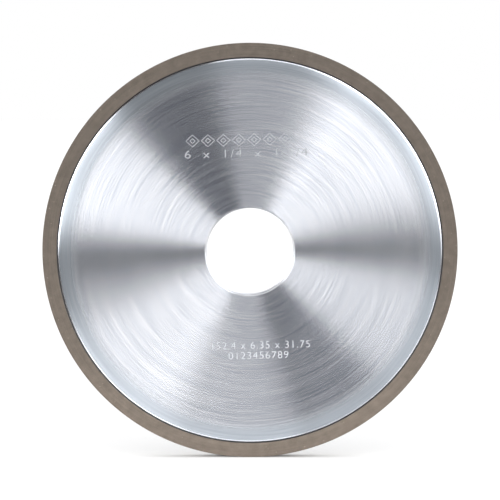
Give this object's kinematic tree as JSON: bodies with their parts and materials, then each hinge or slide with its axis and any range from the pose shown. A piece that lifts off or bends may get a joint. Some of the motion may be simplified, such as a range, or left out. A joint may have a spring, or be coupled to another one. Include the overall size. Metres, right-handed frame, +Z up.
{
  "type": "diamond grinding wheel",
  "caption": "Straight diamond grinding wheel: a turned aluminium disc with a spindle hole, edged by a brown resin ring whose outermost layer holds the diamond grit.",
  "frame": {"origin": "centre of the bore, half way through the wheel's width", "axes": "+Y along the axis that the wheel spins about, away from the marked face; +Z up; the marked face looks along -Y"},
  "size_m": [0.1524, 0.0064, 0.1524],
  "materials": {
    "turned_aluminium": "faced on a lathe and brushed in circles",
    "dark_adhesive": "cured adhesive film",
    "brown_resin": "moulded and ground flat",
    "diamond_resin": "moulded with grit, trued round and dressed"
  },
  "bodies": {
    "root": {"core_disc": "turned_aluminium", "bond_line": "dark_adhesive", "backing_ring": "brown_resin", "diamond_rim": "diamond_resin"}
  },
  "joints": []
}
